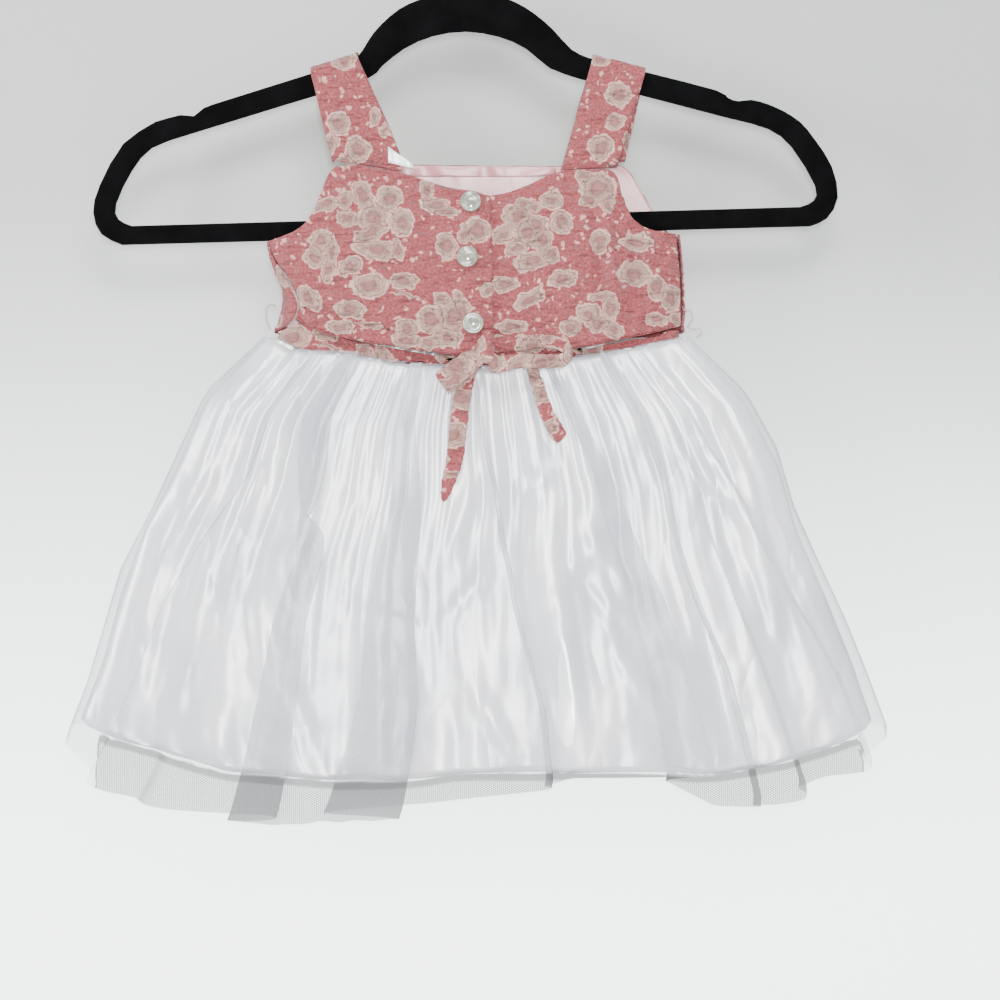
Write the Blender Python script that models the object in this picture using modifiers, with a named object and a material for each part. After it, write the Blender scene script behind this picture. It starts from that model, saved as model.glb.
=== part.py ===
"""A toddler's party dress hanging on a flat clothes hanger.

Outlines are written in millimetres and the scene is in metres. +Z is up and the front of the
dress faces -Y. The origin is the point inside the top of the hook where a rail carries it.
"""

import math

import bmesh
import bpy
from mathutils import Vector

MM = 0.001

# Hanger: a flat moulded frame with a wire hook.
HANGER_THICKNESS = 5.0
HANGER_EDGE = 2.0
HANGER_TOP = -84.0
HOOK_WIRE = 3.8
HOOK_INNER_RADIUS = 19.0

# Cloth walls, and the gaps between pieces that are sewn or lie together.
SHELL_WALL = 1.5
SATIN_WALL = 1.0
TULLE_WALL = 1.0
TAPE_WALL = 1.2
BAND_WALL = 2.0
SEAM_GAP = 0.35
LIE_GAP = 0.5
TIE_GAP = 0.8

# Bodice: hollow between its front and back, as deep as the hanger bar at the side seams.
BODICE_MIDDLE = 7.0
BODICE_HALF_WIDTH = 120.5
BODICE_SIDE_DEPTH = 2.9
FRONT_FULLNESS = 8.5
BACK_FULLNESS = 4.5
NECK_HEIGHT = -187.0
FULL_HEIGHT = -240.0
HEM_OF_BODICE = -300.0
PLACKET_LIFT = 2.1

# Waistband and skirt: flattened tubes, deeper at the hem.
WAIST_LEFT = -113.4
WAIST_RIGHT = 128.6
WAIST_DEPTH = 5.4
WAIST_CORNER = 12.0
BAND_TOP = -286.8
BAND_RISE = 7.5
SKIRT_HEM_CORNER = 34.0
TULLE_DEPTH_AT_WAIST = 6.6
TULLE_FRONT_DEPTH = 17.0
TULLE_BACK_DEPTH = 12.0
LINING_DEPTH_AT_WAIST = 4.3
LINING_FRONT_DEPTH = 13.0
LINING_BACK_DEPTH = 8.5
LINING_INSET = 9.0
LINING_WAVE = 3.0
LINING_WAVES = 9
BACK_FOLDS = 7

# Buttons, thread loops and tie.
BUTTON_RADIUS = 6.3
BUTTON_THICKNESS = 2.6
BUTTON_PLACES = [(3.0, -211.5), (1.2, -244.2), (4.5, -283.3)]
THREAD = 0.9
TAPE_HEIGHT = 8.0
TAPE_RAISE = 0.6

# Outlines as (x, z), from the wearer's right (-X) to the left (+X) and from the top down.
LEFT_ARMHOLE = [(-115, -233.5), (-104, -230), (-95, -225), (-90.5, -218), (-83, -198), (-79, -187)]
LEFT_NECKLINE = [(-79, -187), (-51, -190), (-28, -196.5), (-10, -202.8), (6, -204.6), (14, -208)]
RIGHT_NECKLINE = [(5, -208), (20, -206.8), (33, -202.5), (46, -196.5), (57, -192), (90, -190.5)]
RIGHT_ARMHOLE = [(90, -190.5), (91.5, -203), (95, -216), (104, -226.5), (124, -229.6)]
LEFT_SIDE = [(-115, -233.5), (-112, -244), (-106, -252), (-100, -264), (-96.5, -272), (-100.5, -279.5)]
RIGHT_SIDE = [(124, -229.6), (126.4, -256), (127, -283.5)]
FRONT_EDGE = [(-100.5, -279.5), (-88, -287), (-67, -292.5), (-43, -296.5), (-2, -302.5), (17, -303.6),
              (32, -302), (64, -298), (117, -287), (127, -283.5)]
LEFT_PLACKET = [(14, -208), (17, -303.6)]
RIGHT_PLACKET = [(5, -208), (7, -303.4)]
BACK_LEFT_ARMHOLE = [(-115, -234.2), (-104, -230.8), (-95, -226), (-90, -219), (-82, -199), (-78.5, -187)]
BACK_NECK = [(-78.5, -187), (-48, -186.5), (56, -187.5), (95, -185.5)]
BACK_RIGHT_ARMHOLE = [(95, -185.5), (111, -213), (116, -223), (124, -230.6)]
BACK_LEFT_SIDE = [(-115, -234.2), (-113.8, -248), (-107.5, -262), (-109, -274), (-112.6, -284.4)]
BACK_RIGHT_SIDE = [(124, -230.6), (126.4, -256), (127, -284.6)]
BACK_EDGE = [(-112.6, -284.4), (8, -285.5), (127, -284.6)]

# Where the skirt joins the waistband in front, as (share of the width, z).
WAIST_SEAM = [(0.0, -289.5), (0.06, -298), (0.16, -299.5), (0.3, -305), (0.5, -308.5),
              (0.68, -304), (0.85, -297.5), (1.0, -290)]
BACK_WAIST_SEAM = -290.0
TULLE_HEM = [(0.0, -524), (0.03, -538), (0.09, -559), (0.16, -573), (0.26, -578), (0.43, -574), (0.5, -566),
             (0.56, -556), (0.64, -549), (0.7, -548.5), (0.73, -560), (0.77, -568), (0.83, -565),
             (0.9, -548), (0.95, -538), (1.0, -522)]
LINING_HEM = [(0.0, -519), (0.1, -533), (0.2, -547), (0.32, -552.5), (0.42, -552.5), (0.48, -548),
              (0.7, -547), (0.78, -550), (0.86, -543), (0.93, -533), (1.0, -519)]
BACK_HEM_DROP = 16.0
LEFT_OUTLINE = [(-117.5, -290), (-133, -299), (-148, -312), (-163, -338), (-182, -384), (-194, -400),
                (-208, -430), (-216, -460), (-226, -492), (-239, -520), (-238, -530)]
RIGHT_OUTLINE = [(130.5, -290), (149.5, -299), (162, -316), (189, -363), (195, -390), (204, -410),
                 (229, -462), (240, -490), (252, -522), (252, -530)]

# Folds of the tulle in front: share of the width at the waist and at the hem, half width, height, lean.
TULLE_FOLDS = [
    (0.05, 0.07, 26, 4.5, 0),
    (0.12, 0.19, 24, 5.5, -9),
    (0.25, 0.36, 38, 5.0, 11),
    (0.49, 0.50, 34, 5.0, 9),
    (0.66, 0.63, 32, 5.0, 0),
    (0.79, 0.735, 24, 6.0, 9),
    (0.89, 0.81, 26, 6.0, 11),
    (0.955, 0.91, 26, 6.0, 9),
]


def start_scene():
    """Empty the scene and make the collection that holds the dress."""
    for old in list(bpy.data.objects):
        bpy.data.objects.remove(old, do_unlink=True)
    group = bpy.data.collections.new("toddler_party_dress")
    bpy.context.scene.collection.children.link(group)
    return group


def material(name, colour, roughness, metallic=0.0):
    look = bpy.data.materials.new(name)
    look.use_nodes = True
    shader = look.node_tree.nodes["Principled BSDF"]
    shader.inputs["Base Color"].default_value = (*colour, 1.0)
    shader.inputs["Roughness"].default_value = roughness
    shader.inputs["Metallic"].default_value = metallic
    look.diffuse_color = (*colour, 1.0)
    return look


DRESS = start_scene()
VELVET = material("black_flocked_plastic", (0.012, 0.012, 0.013), 0.95)
STEEL = material("plated_steel", (0.62, 0.62, 0.63), 0.3, 1.0)
KNIT = material("coral_flowered_knit", (0.72, 0.30, 0.30), 0.85)
PINK_SATIN = material("pale_pink_satin", (0.86, 0.66, 0.67), 0.4)
WHITE_SATIN = material("white_satin", (0.88, 0.88, 0.90), 0.35)
TULLE = material("white_tulle", (0.80, 0.80, 0.86), 0.7)
PEARL = material("pearl_button", (0.72, 0.72, 0.64), 0.15)
WHITE_THREAD = material("white_thread", (0.85, 0.84, 0.80), 0.6)


def add(name, data, look):
    """Put a mesh or curve in the dress's collection as one named piece."""
    piece = bpy.data.objects.new(name, data)
    data.materials.append(look)
    DRESS.objects.link(piece)
    return piece


def smooth(points, steps=6):
    """A Catmull-Rom curve through the points, as a close polyline."""
    knots = [Vector(point) for point in points]
    ends = [2 * knots[0] - knots[1], *knots, 2 * knots[-1] - knots[-2]]
    line = []
    for a, b, c, d in zip(ends, ends[1:], ends[2:], ends[3:]):
        for step in range(steps):
            t = step / steps
            line.append(0.5 * (2 * b + (c - a) * t + (2 * a - 5 * b + 4 * c - d) * t**2
                               + (3 * b - a - 3 * c + d) * t**3))
    line.append(knots[-1])
    return line


def even(line, count):
    """Points spaced evenly along a polyline: count gaps between them."""
    reach = [0.0]
    for a, b in zip(line, line[1:]):
        reach.append(reach[-1] + (b - a).length)
    found = []
    part = 0
    for index in range(count + 1):
        want = reach[-1] * index / count
        while part < len(line) - 2 and reach[part + 1] < want:
            part += 1
        span = reach[part + 1] - reach[part]
        found.append(line[part].lerp(line[part + 1], min(1.0, (want - reach[part]) / span)))
    return found


def outline(count, *runs):
    """Smooth runs joined end to end, with a corner where two runs meet, spaced evenly."""
    line = []
    for run in runs:
        line += smooth(run)[1 if line else 0:]
    return even(line, count)


def value_at(table, place):
    """The value that a table of (place, value) gives between its rows."""
    for (a, low), (b, high) in zip(table, table[1:]):
        if place <= b:
            t = max(0.0, (place - a) / (b - a))
            return low + (high - low) * t
    return table[-1][1]


def ease(t):
    """0 to 1 with soft ends."""
    t = min(1.0, max(0.0, t))
    return t * t * (3 - 2 * t)


def patch(top, bottom, left, right):
    """Rows of points that fill the space between four edges, from the top edge down."""
    columns = len(top) - 1
    rows = len(left) - 1
    filled = []
    for i, (at_left, at_right) in enumerate(zip(left, right)):
        v = i / rows
        row = []
        for j in range(columns + 1):
            u = j / columns
            corners = (top[0] * (1 - u) + top[-1] * u) * (1 - v) + (bottom[0] * (1 - u) + bottom[-1] * u) * v
            row.append(top[j] * (1 - v) + bottom[j] * v + at_left * (1 - u) + at_right * u - corners)
        filled.append(row)
    return filled


def placed(rows, depth):
    """Flat (x, z) rows stood up in space, with y from the depth rule."""
    return [[(p[0], depth(p[0], p[1]), p[1]) for p in row] for row in rows]


def wall(name, rows, thickness, look, ring=False, side=0.0):
    """A cloth wall on rows of points. side 1 grows it on the side that its faces look to."""
    shape = bmesh.new()
    grid = [[shape.verts.new(Vector(point) * MM) for point in row] for row in rows]
    for upper, lower in zip(grid, grid[1:]):
        for c in range(len(upper) - (0 if ring else 1)):
            n = (c + 1) % len(upper)
            shape.faces.new((upper[c], lower[c], lower[n], upper[n]))
    mesh = bpy.data.meshes.new(name)
    shape.to_mesh(mesh)
    shape.free()
    mesh.shade_smooth()
    piece = add(name, mesh, look)
    solid = piece.modifiers.new("Wall", "SOLIDIFY")
    solid.thickness = thickness * MM
    solid.offset = side
    return piece


# Hanger ------------------------------------------------------------------------------------

def flat_spline(curve, points):
    spline = curve.splines.new("POLY")
    spline.points.add(len(points) - 1)
    for target, point in zip(spline.points, points):
        target.co = (point[0] * MM, point[1] * MM, 0.0, 1.0)
    spline.use_cyclic_u = True


def make_hanger():
    """Arms, arch and trouser bar in one flat moulding, with a low knob on each arm for straps."""
    right_end = [(205, -224.2), (215, -219.5), (221.5, -207), (218, -188.8), (208, -172.8),
                 (199, -162), (189, -155.5)]
    right_arm = [(189, -155.5), (180, -151.5), (170, -148.9), (162, -149.7), (156, -147.7), (149, -143.2),
                 (108, -132.6), (73, -123.9)]
    arch = [(73, -123.9), (63, -119), (52, -107.2), (41, -97.7), (30, -91), (16, -85.8), (0, HANGER_TOP),
            (-16, -85.6), (-34, -91.7), (-45, -98.9), (-55, -109), (-61, -118.5), (-66, -125)]
    left_arm = [(-66, -125), (-92, -133.2), (-142, -148.9), (-156, -153.7), (-162, -158.6), (-170, -157.9),
                (-185, -162)]
    left_end = [(-185, -162), (-204, -175), (-218, -199.6), (-222, -216), (-217, -229), (-205, -235.3)]
    outer = []
    for run in (right_end, right_arm, arch, left_arm, left_end):
        outer += smooth(run, 2)[:-1]
    outer.append(Vector(left_end[-1]))
    inner = []
    for run in (
        [(-199, -224), (-207, -220), (-208.4, -211), (-199, -191.2), (-187, -177.5), (-166, -169.8)],
        [(-166, -169.8), (-104, -150.7), (-60, -137), (-50, -128.7), (-37, -118.5), (-20, -111), (0, -108.2),
         (20, -111.4), (36, -118.5), (50, -130), (68, -136.4)],
        [(68, -136.4), (108, -147.1), (156, -159.6), (180, -166.2), (194, -177), (208, -200), (207, -209),
         (199, -212.7)],
    ):
        inner += smooth(run, 2)[:-1]
    inner.append(Vector((199, -212.7)))
    curve = bpy.data.curves.new("hanger_frame", "CURVE")
    curve.dimensions = "2D"
    curve.fill_mode = "BOTH"
    curve.extrude = (HANGER_THICKNESS / 2 - HANGER_EDGE) * MM
    curve.bevel_depth = HANGER_EDGE * MM
    curve.bevel_resolution = 1
    curve.offset = -HANGER_EDGE * MM
    flat_spline(curve, outer)
    flat_spline(curve, inner)
    add("hanger_frame", curve, VELVET).rotation_euler = (math.radians(90), 0, 0)


def tube(name, points, diameter, look, resolution=2):
    curve = bpy.data.curves.new(name, "CURVE")
    curve.dimensions = "3D"
    curve.bevel_depth = diameter / 2 * MM
    curve.bevel_resolution = resolution
    curve.use_fill_caps = True
    spline = curve.splines.new("POLY")
    spline.points.add(len(points) - 1)
    for target, point in zip(spline.points, points):
        target.co = (*(Vector(point) * MM), 1.0)
    return add(name, curve, look)


def make_hook():
    """Steel wire: round over the rail, then back under its own middle and down into the frame."""
    radius = HOOK_INNER_RADIUS + HOOK_WIRE / 2
    turns = [math.radians(angle) for angle in range(200, -41, -15)]
    bow = [(radius * math.cos(a), 0, radius * math.sin(a) - HOOK_INNER_RADIUS) for a in turns]
    neck = smooth([bow[-1], (9, 0, -42.5), (2.2, 0, -52), (0, 0, -61), (0, 0, HANGER_TOP + SEAM_GAP)], 3)
    tube("hanger_hook", bow + neck[1:], HOOK_WIRE, STEEL)


# Bodice ------------------------------------------------------------------------------------

def fullness(x, z):
    """How far the cloth stands out here: 0 at the side seams and the neck, 1 over the middle."""
    across = abs((x - BODICE_MIDDLE) / BODICE_HALF_WIDTH)
    rise = ease((NECK_HEIGHT - z) / (NECK_HEIGHT - FULL_HEIGHT))
    fall = 1 - 0.1 * ease((FULL_HEIGHT - z) / (FULL_HEIGHT - HEM_OF_BODICE))
    return max(0.0, 1 - across**8) * rise * fall


def front_inside(x, z):
    return -(BODICE_SIDE_DEPTH + FRONT_FULLNESS * fullness(x, z))


def upper_front_inside(x, z):
    """The buttonhole side: it steps out over the button side at the placket."""
    return front_inside(x, z) - PLACKET_LIFT * ease((x + 12) / 15)


def lining_inside(x, z):
    return BODICE_SIDE_DEPTH + BACK_FULLNESS * fullness(x, z)


def back_inside(x, z):
    return lining_inside(x, z) + SATIN_WALL + SEAM_GAP


def make_fronts():
    rows = 8
    columns = 16
    for name, top, bottom, left, right, depth in (
        (
            "bodice_front_buttonhole_side",
            outline(columns, LEFT_ARMHOLE, LEFT_NECKLINE),
            outline(columns, FRONT_EDGE[:6]),
            outline(rows, LEFT_SIDE),
            outline(rows, LEFT_PLACKET),
            upper_front_inside,
        ),
        (
            "bodice_front_button_side",
            outline(columns, RIGHT_NECKLINE, RIGHT_ARMHOLE),
            outline(columns, [RIGHT_PLACKET[-1], *FRONT_EDGE[6:]]),
            outline(rows, RIGHT_PLACKET),
            outline(rows, RIGHT_SIDE),
            front_inside,
        ),
    ):
        wall(name, placed(patch(top, bottom, left, right), depth), SHELL_WALL, KNIT, side=1)


def side_return(back_edge, front_edge, out):
    """Columns that carry the back's edge round the side seam to the front's edge."""
    columns = [[], [], []]
    for back, front in zip(back_edge, front_edge):
        front_y = front_inside(front[0], front[1])
        between = back.lerp(front, 0.3)
        columns[0].append((back[0] + out * 1.0, 2.0, back[1]))
        columns[1].append((between[0] + out * 1.2, front_y * 0.35, between[1]))
        columns[2].append((front[0] + out * 2.2, front_y, front[1]))
    return columns


def back_outline(rows, columns):
    """The back panel's flat points, which its lining shares."""
    top = outline(columns, BACK_LEFT_ARMHOLE, BACK_NECK, BACK_RIGHT_ARMHOLE)
    left = outline(rows, BACK_LEFT_SIDE)
    right = outline(rows, BACK_RIGHT_SIDE)
    return patch(top, outline(columns, BACK_EDGE), left, right)


def make_back():
    """The back panel is wider than the front and wraps round both side seams."""
    rows = 8
    flat = back_outline(rows, 22)
    left_return = side_return([row[0] for row in flat], outline(rows, LEFT_SIDE), -1)
    right_return = side_return([row[-1] for row in flat], outline(rows, RIGHT_SIDE), 1)
    whole = []
    for i, row in enumerate(placed(flat, back_inside)):
        to_left = [column[i] for column in reversed(left_return)]
        to_right = [column[i] for column in right_return]
        whole.append(to_left + row + to_right)
    wall("bodice_back", whole, SHELL_WALL, KNIT, side=-1)


def make_back_lining():
    """Pale satin on the inside of the back, and the turned-in strip along its neck."""
    inset = Vector((1.0, 0.0))
    flat = [[row[0] + inset, *row[1:-1], row[-1] - inset] for row in back_outline(8, 22)]
    wall("back_lining", placed(flat, lining_inside), SATIN_WALL, PINK_SATIN, side=-1)
    upper = even([Vector((-46, -187.2)), Vector((55, -188))], 8)
    lower = even([Vector((-46, -194.4)), Vector((55, -194.4))], 8)
    strip = patch(upper, lower, [upper[0], lower[0]], [upper[-1], lower[-1]])
    forward = SATIN_WALL + LIE_GAP
    wall(
        "back_neck_facing",
        placed(strip, lambda x, z: lining_inside(x, z) - forward),
        SATIN_WALL,
        PINK_SATIN,
        side=-1,
    )


def hanging(start, end, t, y):
    """A point on a strap's straight run, t of the way from its start to its end."""
    point = start.lerp(end, t)
    return point[0], y, point[1]


def make_strap(name, front_foot, back_foot, top):
    """One strap: from the back neck up, over the hanger arm and down to the front neck."""
    columns = 4
    run = 7
    turn = 8
    inner = HANGER_THICKNESS / 2 + LIE_GAP
    at_top = even([Vector(point) for point in top], columns)
    at_front = even(smooth(front_foot), columns)
    at_back = even(smooth(back_foot), columns)
    rows = []
    for step in range(run):
        t = step / run
        rows.append([hanging(foot, upper, t, inner) for upper, foot in zip(at_top, at_back)])
    for step in range(turn + 1):
        angle = math.pi * step / turn
        rows.append([(a[0], inner * math.cos(angle), a[1] + inner * math.sin(angle)) for a in at_top])
    for step in range(1, run + 1):
        t = step / run
        rows.append([hanging(upper, foot, t, -inner) for upper, foot in zip(at_top, at_front)])
    wall(name, rows, SHELL_WALL, KNIT, side=1)




def make_straps():
    make_strap(
        "strap_left",
        [(-79.5, -186.4), (-51, -189.2), (-32, -194.2)],
        [(-79, -186.4), (-48, -186.0)],
        [(-92, -133.9), (-64, -124.8)],
    )
    make_strap(
        "strap_right",
        [(56.5, -191.0), (90, -189.4)],
        [(56, -187.0), (95, -185)],
        [(75, -126), (106.5, -134.1)],
    )


def make_lining_corner():
    """A corner of the front's satin lining that stands up over the left strap's foot."""
    top = even([Vector((-48.5, -180)), Vector((-34, -190.5))], 4)
    bottom = even([Vector((-48.5, -189.6)), Vector((-33, -193.4))], 4)
    flat = patch(top, bottom, even([top[0], bottom[0]], 2), even([top[-1], bottom[-1]], 2))
    in_front = HANGER_THICKNESS / 2 + LIE_GAP + SHELL_WALL + LIE_GAP
    wall("front_lining_corner", placed(flat, lambda x, z: -in_front), SATIN_WALL, WHITE_SATIN, side=1)


# Waistband and skirt -----------------------------------------------------------------------

def shares(count):
    """Places across the skirt from 0 to 1, a little closer together near the sides."""
    return [0.68 * k / count + 0.16 * (1 - math.cos(math.pi * k / count)) for k in range(count + 1)]


def rounded_side(share, width, corner):
    """How much of the full depth the tube has here: it closes in a rounded side."""
    inward = 1 - min(share, 1 - share) * width / corner
    return math.sqrt(1 - inward * inward) if inward > 0 else 1.0


def fold_shift(share, level, width, hem_width, folds):
    """The (x, outward) shift of the folds: each is a soft ridge, which may lean over sideways."""
    grow = ease(0.12 + 0.88 * level)
    sideways = outward = 0.0
    for at_waist, at_hem, reach, height, lean in folds:
        centre = at_waist + (at_hem - at_waist) * level
        away = abs(share - centre) * width / (reach * (0.25 + 0.75 * width / hem_width))
        if away < 1:
            ridge = grow * (0.5 + 0.5 * math.cos(math.pi * away))
            sideways += lean * ridge
            outward += height * ridge
    return sideways, outward


def side_x(path, z):
    """The x of a side outline at height z."""
    return value_at([(-point[1], point[0]) for point in path], -z)


def tube_rows(front_count, back_count, levels, place):
    """Rows round a flattened tube: across the front from -X to +X, then back behind."""
    front = [(share, True) for share in shares(front_count)]
    back = [(share, False) for share in reversed(shares(back_count)[1:-1])]
    around = front + back
    return [[place(share, is_front, k / levels) for share, is_front in around] for k in range(levels + 1)]


def make_waistband():
    width = WAIST_RIGHT - WAIST_LEFT

    def place(share, is_front, level):
        x = WAIST_LEFT + width * share
        top = BAND_TOP
        if is_front:
            top += BAND_RISE * ease((share * width - 8) / 8) * ease(((1 - share) * width - 21) / 10)
        bottom = value_at(WAIST_SEAM, share) if is_front else BACK_WAIST_SEAM
        depth = WAIST_DEPTH * rounded_side(share, width, WAIST_CORNER)
        return x, -depth if is_front else depth, top + (bottom - top) * level

    wall("waistband", tube_rows(30, 22, 2, place), BAND_WALL, KNIT, ring=True)


def skirt_place(hem, inset, waist_depth, front_depth, back_depth, shift):
    """The rule that places a point of a skirt layer by its share of the width and its level."""
    hem_width = side_x(RIGHT_OUTLINE, hem[-1][1]) - side_x(LEFT_OUTLINE, hem[0][1])

    def place(share, is_front, level):
        in_by = inset * (0.25 + 0.75 * level)
        left_z = BACK_WAIST_SEAM + (hem[0][1] - BACK_WAIST_SEAM) * level
        right_z = BACK_WAIST_SEAM + (hem[-1][1] - BACK_WAIST_SEAM) * level
        left = side_x(LEFT_OUTLINE, left_z) + in_by
        right = side_x(RIGHT_OUTLINE, right_z) - in_by
        width = right - left
        corner = WAIST_CORNER + (SKIRT_HEM_CORNER - WAIST_CORNER) * level
        hem_depth = front_depth if is_front else back_depth
        depth = waist_depth + (hem_depth - waist_depth) * level
        depth *= rounded_side(share, width, corner)
        if is_front:
            top = value_at(WAIST_SEAM, share)
            bottom = value_at(hem, share)
        else:
            top = BACK_WAIST_SEAM
            sides = hem[0][1] + (hem[-1][1] - hem[0][1]) * share
            bottom = sides - BACK_HEM_DROP * math.sin(math.pi * share)
        sideways, outward = shift(share, is_front, level, width, hem_width)
        x = left + width * share + sideways
        y = depth + outward * rounded_side(share, width, corner)
        z = top - BAND_WALL / 2 * (1 - level) + (bottom - top) * level
        return x, -y if is_front else y, z

    return place


def tulle_shift(share, is_front, level, width, hem_width):
    if is_front:
        return fold_shift(share, level, width, hem_width, TULLE_FOLDS)
    folds = [((k + 0.5) / BACK_FOLDS,) * 2 + (30, 4.5, 7 if k % 2 else -7) for k in range(BACK_FOLDS)]
    return fold_shift(share, level, width, hem_width, folds)


def lining_shift(share, is_front, level, width, hem_width):
    wave = 0.5 - 0.5 * math.cos(2 * math.pi * LINING_WAVES * share)
    return 0.0, -LINING_WAVE * wave * level


def make_skirt():
    lining = skirt_place(
        LINING_HEM, LINING_INSET, LINING_DEPTH_AT_WAIST, LINING_FRONT_DEPTH, LINING_BACK_DEPTH, lining_shift
    )
    wall("skirt_lining", tube_rows(38, 26, 6, lining), SATIN_WALL, WHITE_SATIN, ring=True)
    tulle = skirt_place(
        TULLE_HEM, 0.0, TULLE_DEPTH_AT_WAIST, TULLE_FRONT_DEPTH, TULLE_BACK_DEPTH, tulle_shift
    )
    wall("skirt_tulle", tube_rows(60, 36, 7, tulle), TULLE_WALL, TULLE, ring=True)


# Buttons, tie and thread loops ---------------------------------------------------------------

def make_buttons():
    """Turned pearly buttons with a raised rim, sewn through the placket."""
    for number, (x, z) in enumerate(BUTTON_PLACES, 1):
        mesh = bpy.data.meshes.new(f"button_{number}")
        r = BUTTON_RADIUS
        t = BUTTON_THICKNESS
        profile = [(0, 0.6 * t), (0.62 * r, 0.62 * t), (0.74 * r, t), (0.9 * r, 0.95 * t), (r, 0.55 * t),
                   (0.86 * r, 0.1 * t), (0, 0)]
        shape = bmesh.new()
        points = [shape.verts.new((a * MM, 0, b * MM)) for a, b in profile]
        for a, b in zip(points, points[1:]):
            shape.edges.new((a, b))
        shape.to_mesh(mesh)
        shape.free()
        button = add(f"button_{number}", mesh, PEARL)
        turn = button.modifiers.new("Turned", "SCREW")
        turn.steps = 20
        turn.render_steps = 20
        turn.use_merge_vertices = True
        turn.merge_threshold = 0.00001
        turn.use_normal_calculate = True
        above = upper_front_inside(x, z + r)
        below = upper_front_inside(x, z - r)
        outside = (above + below) / 2 - SHELL_WALL - LIE_GAP
        button.location = (x * MM, outside * MM, z * MM)
        button.rotation_euler = (math.radians(90) - math.atan2(above - below, 2 * r), 0, 0)


def tie_band(name, start, end):
    """A tape along the front's lower edge, made from the front's own points, moved out."""
    count = 12
    depth = upper_front_inside if end < 17 else front_inside
    edge = [(point[0], point[1]) for point in FRONT_EDGE]
    xs = [start + (end - start) * k / count for k in range(count + 1)]
    outside = SHELL_WALL + TIE_GAP
    rows = []
    for up in (TAPE_RAISE + TAPE_HEIGHT, TAPE_RAISE + TAPE_HEIGHT / 2, TAPE_RAISE):
        row = []
        for x in xs:
            z = value_at(edge, x) + up
            row.append((x, depth(x, z) - outside, z))
        rows.append(row)
    wall(name, rows, TAPE_WALL, KNIT, side=1)


def ribbon(name, path, across=None):
    """A cloth tape along (x, y, z, width) points, its width square to its way across the front."""
    centre = smooth([point[:3] for point in path], 3)
    widths = [w for a, b in zip(path, path[1:]) for w in (a[3], (2 * a[3] + b[3]) / 3, (a[3] + 2 * b[3]) / 3)]
    widths.append(path[-1][3])
    rows = []
    for k, (point, width) in enumerate(zip(centre, widths)):
        way = centre[min(k + 1, len(centre) - 1)] - centre[max(k - 1, 0)]
        square = Vector(across) if across else Vector((-way.z, 0, way.x))
        rows.append([point + square.normalized() * width * side / 2 for side in (-1, 0, 1)])
    wall(name, rows, TAPE_WALL, KNIT)


def make_bow():
    tie_band("tie_band_left", -99.0, 6.4)
    tie_band("tie_band_right", 18.2, 125.4)
    knot = bmesh.new()
    bmesh.ops.create_icosphere(knot, subdivisions=2, radius=1.0)
    for vert in knot.verts:
        vert.co = (vert.co.x * 4.9 * MM, vert.co.y * 4.3 * MM, vert.co.z * 8.2 * MM)
    mesh = bpy.data.meshes.new("bow_knot")
    knot.to_mesh(mesh)
    knot.free()
    mesh.shade_smooth()
    add("bow_knot", mesh, KNIT).location = (12.3 * MM, -19.6 * MM, -298 * MM)
    ribbon("bow_loop_left", [(5.5, -20.6, -306, 9), (-1, -21.4, -310, 12), (-9, -21, -316, 13.5),
                             (-14.5, -18.8, -320, 12), (-9, -16.6, -316.6, 13), (-1, -16.2, -311.5, 11),
                             (5.2, -16.6, -307, 8)], across=(-0.6, 0, 0.8))
    ribbon("bow_loop_right", [(19.5, -20.2, -307, 12), (26, -21.4, -308.6, 9), (34, -21.8, -306.8, 8.2),
                              (46, -21.6, -307, 7.8), (57, -21, -306.6, 7.4), (62.6, -19.2, -303, 7),
                              (57, -17.2, -298, 7.2), (46, -16.6, -296.4, 7.6), (34, -16.4, -298, 8),
                              (19.5, -16.6, -298.4, 9)], across=(0, 0, 1))
    ribbon("bow_tail_left", [(2.6, -14.6, -314.6, 9.5), (-1.2, -14.8, -329, 10.5), (-3.8, -15, -345, 10.8),
                             (-6, -15.6, -364, 10.5), (-9.8, -16.2, -377, 8.5), (-13.2, -16.6, -388.5, 4)])
    ribbon("bow_tail_right", [(38.2, -14.2, -312, 7), (41.6, -14.4, -320.5, 7.4), (45.1, -15, -331, 8),
                              (49.4, -15.6, -340.6, 8.8), (54.7, -16.2, -349, 9.4), (57, -16.4, -352, 6.5)])


def make_thread_loops():
    """Crocheted thread carriers at the side seams, empty of any sash."""
    left = [(-113.4, 0.5, -271.8), (-116, -0.5, -270.8), (-118.6, -1.2, -272.4), (-119.2, -1.6, -277),
            (-118.2, -1.2, -282), (-116.8, -0.4, -285.4)]
    right = [(131, 0.5, -274.8), (133.4, -0.6, -274.2), (135, -1.4, -277.6), (134, -1.8, -281.6),
             (131.8, -1.6, -284), (134.4, -3, -286), (138.6, -3, -285.2), (140, -2.6, -288),
             (137.6, -2, -290.4)]
    tube("thread_loop_left", smooth(left, 2), THREAD, WHITE_THREAD, 1)
    tube("thread_loop_right", smooth(right, 2), THREAD, WHITE_THREAD, 1)


make_hanger()
make_hook()
make_fronts()
make_back()
make_back_lining()
make_straps()
make_lining_corner()
make_waistband()
make_skirt()
make_buttons()
make_bow()
make_thread_loops()
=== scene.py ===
import math

import bmesh
import bpy
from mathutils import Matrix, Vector, noise


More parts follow.
